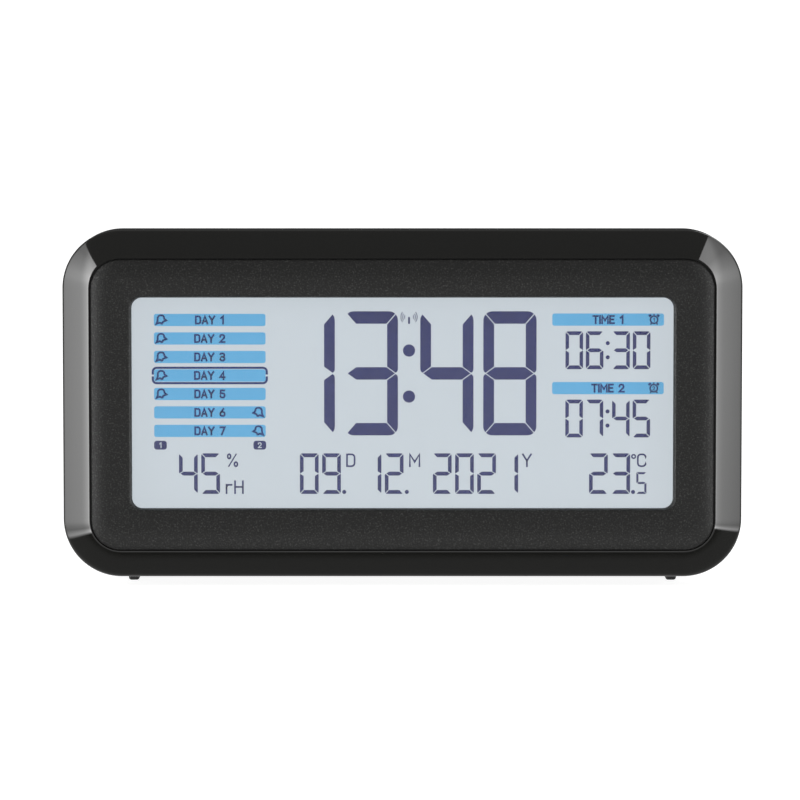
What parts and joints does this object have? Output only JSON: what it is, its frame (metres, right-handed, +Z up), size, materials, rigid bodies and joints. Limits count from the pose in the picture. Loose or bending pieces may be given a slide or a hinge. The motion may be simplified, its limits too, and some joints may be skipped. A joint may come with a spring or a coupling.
{
  "type": "radio-controlled alarm clock",
  "caption": "Wide desk alarm clock: gloss black bezel, matte mask, backlit liquid-crystal display with time, date, alarms and climate, top snooze key, rear keys and battery bay.",
  "frame": {"origin": "middle of the clock on the desk under its feet", "axes": "+X to the viewer's right, +Y from the display to the back, +Z up"},
  "size_m": [0.15, 0.043, 0.0789],
  "materials": {
    "gloss_black_abs": "gloss",
    "grained_black_abs": "matte",
    "satin_black_abs": "satin",
    "clear_acrylic": "polished",
    "display_glass": "polished",
    "polariser_film": "satin",
    "light_guide_acrylic": "gloss",
    "white_film": "matte",
    "white_abs": "satin",
    "contact_rubber": "matte",
    "lamp_resin": "gloss",
    "green_board": "satin",
    "black_resin": "satin",
    "sensor_resin": "matte",
    "zinc_steel": "satin",
    "capacitor_sleeve": "satin",
    "foot_rubber": "satin",
    "cell_jacket": "gloss",
    "nickel_contact": "satin",
    "switch_resin": "satin",
    "ferrite": "matte",
    "copper_wire": "gloss",
    "lead_insulation": "satin",
    "ribbon_insulation": "satin",
    "sounder_brass": "satin",
    "sounder_ceramic": "matte"
  },
  "bodies": {
    "case": {"front_bezel": "gloss_black_abs", "front_panel": "grained_black_abs", "rear_shell": "satin_black_abs", "display_window": "clear_acrylic", "front_glass": "display_glass", "rear_glass": "display_glass", "front_polariser": "polariser_film", "rear_polariser": "polariser_film", "light_guide": "light_guide_acrylic", "reflector_sheet": "white_film", "display_holder": "white_abs", "contact_strip": "contact_rubber", "backlight_lamps": "lamp_resin", "main_board": "green_board", "receiver_board": "green_board", "key_board": "green_board", "sensor_board": "green_board", "controller_blob": "black_resin", "receiver_chip": "black_resin", "climate_sensor": "sensor_resin", "board_screws": "zinc_steel", "case_screws": "zinc_steel", "key_board_screws": "zinc_steel", "clock_crystal": "zinc_steel", "capacitor": "capacitor_sleeve", "feet": "foot_rubber", "upper_cell": "cell_jacket", "lower_cell": "cell_jacket", "upper_spring": "nickel_contact", "lower_spring": "nickel_contact", "bridge_contact": "nickel_contact", "positive_contact": "nickel_contact", "negative_contact": "nickel_contact", "key_switches": "switch_resin", "snooze_switch": "switch_resin", "ferrite_rod": "ferrite", "aerial_coil": "copper_wire", "aerial_leads": "copper_wire", "battery_leads": "lead_insulation", "sounder_leads": "lead_insulation", "sensor_leads": "lead_insulation", "key_ribbon": "ribbon_insulation", "sounder_plate": "sounder_brass", "sounder_disc": "sounder_ceramic"},
    "snooze": {"snooze_key": "satin_black_abs", "snooze_plunger": "switch_resin"},
    "door": {"battery_door": "satin_black_abs"},
    "set": {"set_key": "satin_black_abs", "set_plunger": "switch_resin"},
    "alarm_one": {"alarm_one_key": "satin_black_abs", "alarm_one_plunger": "switch_resin"},
    "alarm_two": {"alarm_two_key": "satin_black_abs", "alarm_two_plunger": "switch_resin"},
    "plus": {"plus_key": "satin_black_abs", "plus_plunger": "switch_resin"},
    "minus": {"minus_key": "satin_black_abs", "minus_plunger": "switch_resin"}
  },
  "joints": [
    {"name": "snooze_press", "type": "slide", "parent": "case", "child": "snooze", "axis": [0, 0, -1], "range_m": [0, 0.0006], "stiffness_N_per_m": 3000},
    {"name": "set_press", "type": "slide", "parent": "case", "child": "set", "axis": [0, -1, 0], "range_m": [0, 0.0005], "stiffness_N_per_m": 3000},
    {"name": "alarm_one_press", "type": "slide", "parent": "case", "child": "alarm_one", "axis": [0, -1, 0], "range_m": [0, 0.0005], "stiffness_N_per_m": 3000},
    {"name": "alarm_two_press", "type": "slide", "parent": "case", "child": "alarm_two", "axis": [0, -1, 0], "range_m": [0, 0.0005], "stiffness_N_per_m": 3000},
    {"name": "plus_press", "type": "slide", "parent": "case", "child": "plus", "axis": [0, -1, 0], "range_m": [0, 0.0005], "stiffness_N_per_m": 3000},
    {"name": "minus_press", "type": "slide", "parent": "case", "child": "minus", "axis": [0, -1, 0], "range_m": [0, 0.0005], "stiffness_N_per_m": 3000},
    {"name": "door_hinge", "type": "hinge", "parent": "case", "child": "door", "pos_m": [0, 0.0206, 0.0103], "axis": [-1, 0, 0], "range_deg": [0, 85]}
  ]
}
